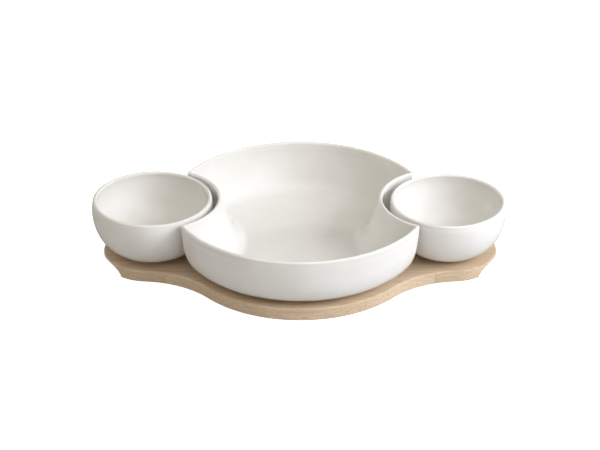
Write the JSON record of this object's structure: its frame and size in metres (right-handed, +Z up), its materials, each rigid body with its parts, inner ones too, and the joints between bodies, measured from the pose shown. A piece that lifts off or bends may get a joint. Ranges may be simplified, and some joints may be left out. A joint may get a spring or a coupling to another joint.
{
  "type": "chip and dip server",
  "caption": "Round stoneware serving bowl with a bite out of each side, a small dip bowl nested in each bite, all standing in shallow seats on a waisted wooden board.",
  "frame": {"origin": "on the table, under the middle of the board", "axes": "+X towards the right dip bowl, along the board; +Y to the back; +Z up"},
  "size_m": [0.4111, 0.257, 0.069],
  "materials": {
    "board_wood": "oiled, satin",
    "centre_bowl_glaze": "warm white gloss glaze",
    "dip_bowl_glaze": "warm white gloss glaze"
  },
  "bodies": {
    "board": {"board_stave_01": "board_wood", "board_stave_02": "board_wood", "board_stave_03": "board_wood", "board_stave_04": "board_wood", "board_stave_05": "board_wood", "board_stave_06": "board_wood", "board_stave_07": "board_wood", "board_stave_08": "board_wood", "board_stave_09": "board_wood", "board_stave_10": "board_wood"},
    "centre_bowl": {"centre_bowl": "centre_bowl_glaze"},
    "left_dip_bowl": {"left_dip_bowl": "dip_bowl_glaze"},
    "right_dip_bowl": {"right_dip_bowl": "dip_bowl_glaze"}
  },
  "joints": [
    {"name": "centre_bowl_lift", "type": "slide", "parent": "board", "child": "centre_bowl", "axis": [0, 0, 1], "range_m": [0, 0.07]},
    {"name": "left_dip_bowl_lift", "type": "slide", "parent": "board", "child": "left_dip_bowl", "axis": [0, 0, 1], "range_m": [0, 0.07]},
    {"name": "right_dip_bowl_lift", "type": "slide", "parent": "board", "child": "right_dip_bowl", "axis": [0, 0, 1], "range_m": [0, 0.07]}
  ]
}
